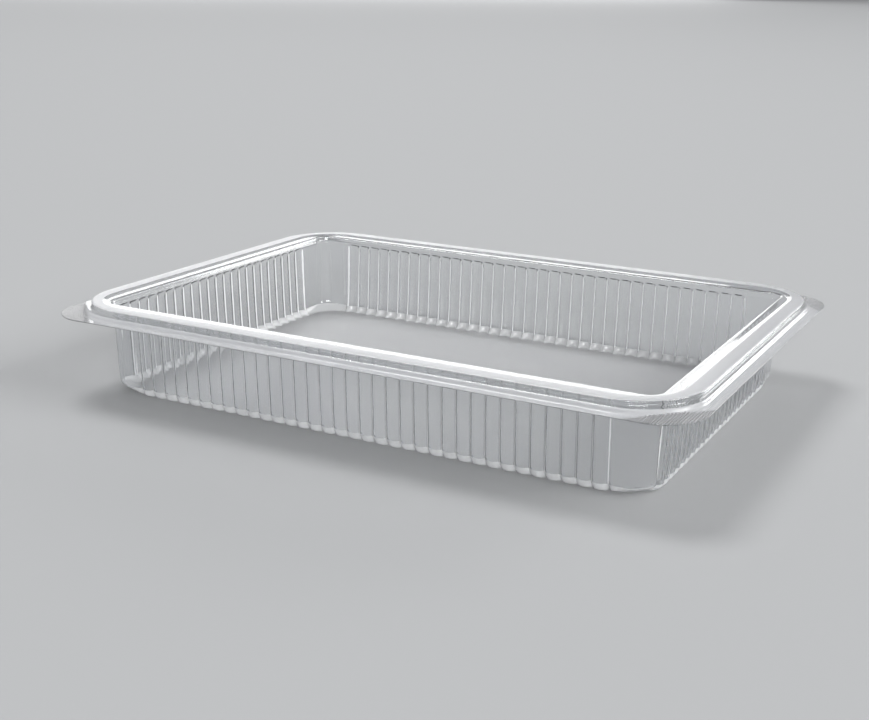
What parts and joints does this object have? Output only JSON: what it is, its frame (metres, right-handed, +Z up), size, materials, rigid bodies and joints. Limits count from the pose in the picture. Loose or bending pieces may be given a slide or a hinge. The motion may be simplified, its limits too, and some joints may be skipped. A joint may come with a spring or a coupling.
{
  "type": "takeaway food tray",
  "caption": "Shallow open rectangular food tray in clear thin plastic, with fluted walls, a stepped rim and a flat flange with pointed corners.",
  "frame": {"origin": "middle of the floor's underside, on the surface that the tray rests on", "axes": "+X along the long walls, +Y towards the long wall at the back of the picture, +Z up out of the open mouth"},
  "size_m": [0.2332, 0.1692, 0.033],
  "materials": {
    "clear_plastic": "clear, glossy thin plastic"
  },
  "bodies": {
    "root": {"tray": "clear_plastic"}
  },
  "joints": []
}
